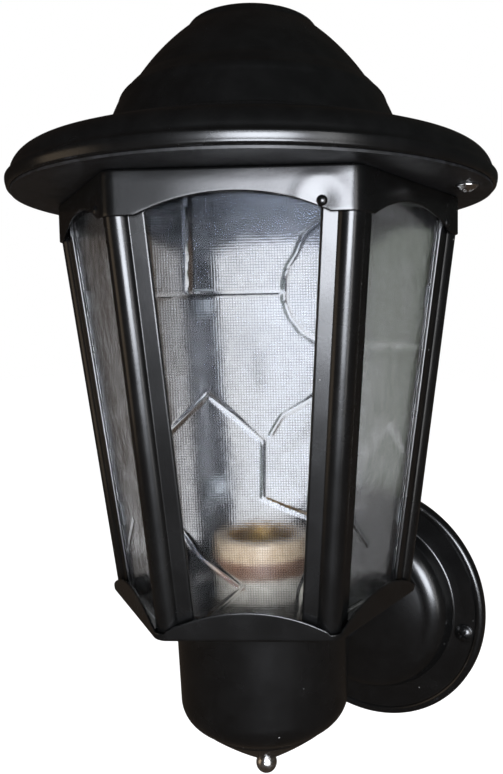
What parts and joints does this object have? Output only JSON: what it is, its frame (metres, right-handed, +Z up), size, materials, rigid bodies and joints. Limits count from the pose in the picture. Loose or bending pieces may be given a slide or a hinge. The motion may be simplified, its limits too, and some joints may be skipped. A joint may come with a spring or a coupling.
{
  "type": "wall lantern",
  "caption": "Black painted six-sided wall lantern with a domed brimmed roof, figured glass panes, a round cup and a round wall plate on a short arm.",
  "frame": {"origin": "centre of the round wall plate, on the wall face of its crossbar", "axes": "+Z up, +Y into the wall, +X to the right as seen from in front of the lantern"},
  "size_m": [0.1796, 0.1998, 0.3189],
  "materials": {
    "black_paint": "semi-gloss",
    "black_fixings": "semi-gloss",
    "figured_glass": "figured, glossy",
    "nickel": "bright",
    "zinc_steel": "satin",
    "porcelain": "glazed",
    "cream_porcelain": "glazed",
    "brown_band": "satin",
    "brass": "satin",
    "white_plastic": "satin",
    "brown_insulation": "satin",
    "blue_insulation": "satin"
  },
  "bodies": {
    "root": {"roof": "black_paint", "roof_crown": "black_paint", "roof_tabs": "black_paint", "roof_screws": "nickel", "roof_plate": "black_paint", "plate_rivets": "zinc_steel", "upper_collar": "black_paint", "collar_rivets": "black_fixings", "post_1": "black_paint", "post_2": "black_paint", "post_3": "black_paint", "post_4": "black_paint", "post_5": "black_paint", "post_6": "black_paint", "pane_1": "figured_glass", "pane_2": "figured_glass", "pane_3": "figured_glass", "pane_4": "figured_glass", "pane_5": "figured_glass", "pane_6": "figured_glass", "glass_clips": "zinc_steel", "lower_collar": "black_paint", "foot_rivets": "black_fixings", "cup": "black_paint", "ball_nut": "nickel", "centre_rod": "zinc_steel", "rod_nut": "zinc_steel", "holder_bracket": "zinc_steel", "bracket_screws": "nickel", "holder_body": "porcelain", "holder_band": "brown_band", "holder_ring": "cream_porcelain", "screw_shell": "brass", "centre_contact": "brass", "holder_screws": "nickel", "arm_tube": "black_paint", "arm_nipple": "zinc_steel", "arm_saddle": "zinc_steel", "arm_nuts": "zinc_steel", "wall_plate": "black_paint", "plate_screws": "black_fixings", "crossbar": "zinc_steel", "earth_screw": "brass", "terminal_block": "white_plastic", "terminal_sleeves": "brass", "terminal_screws": "nickel", "live_wire": "brown_insulation", "neutral_wire": "blue_insulation"}
  },
  "joints": []
}
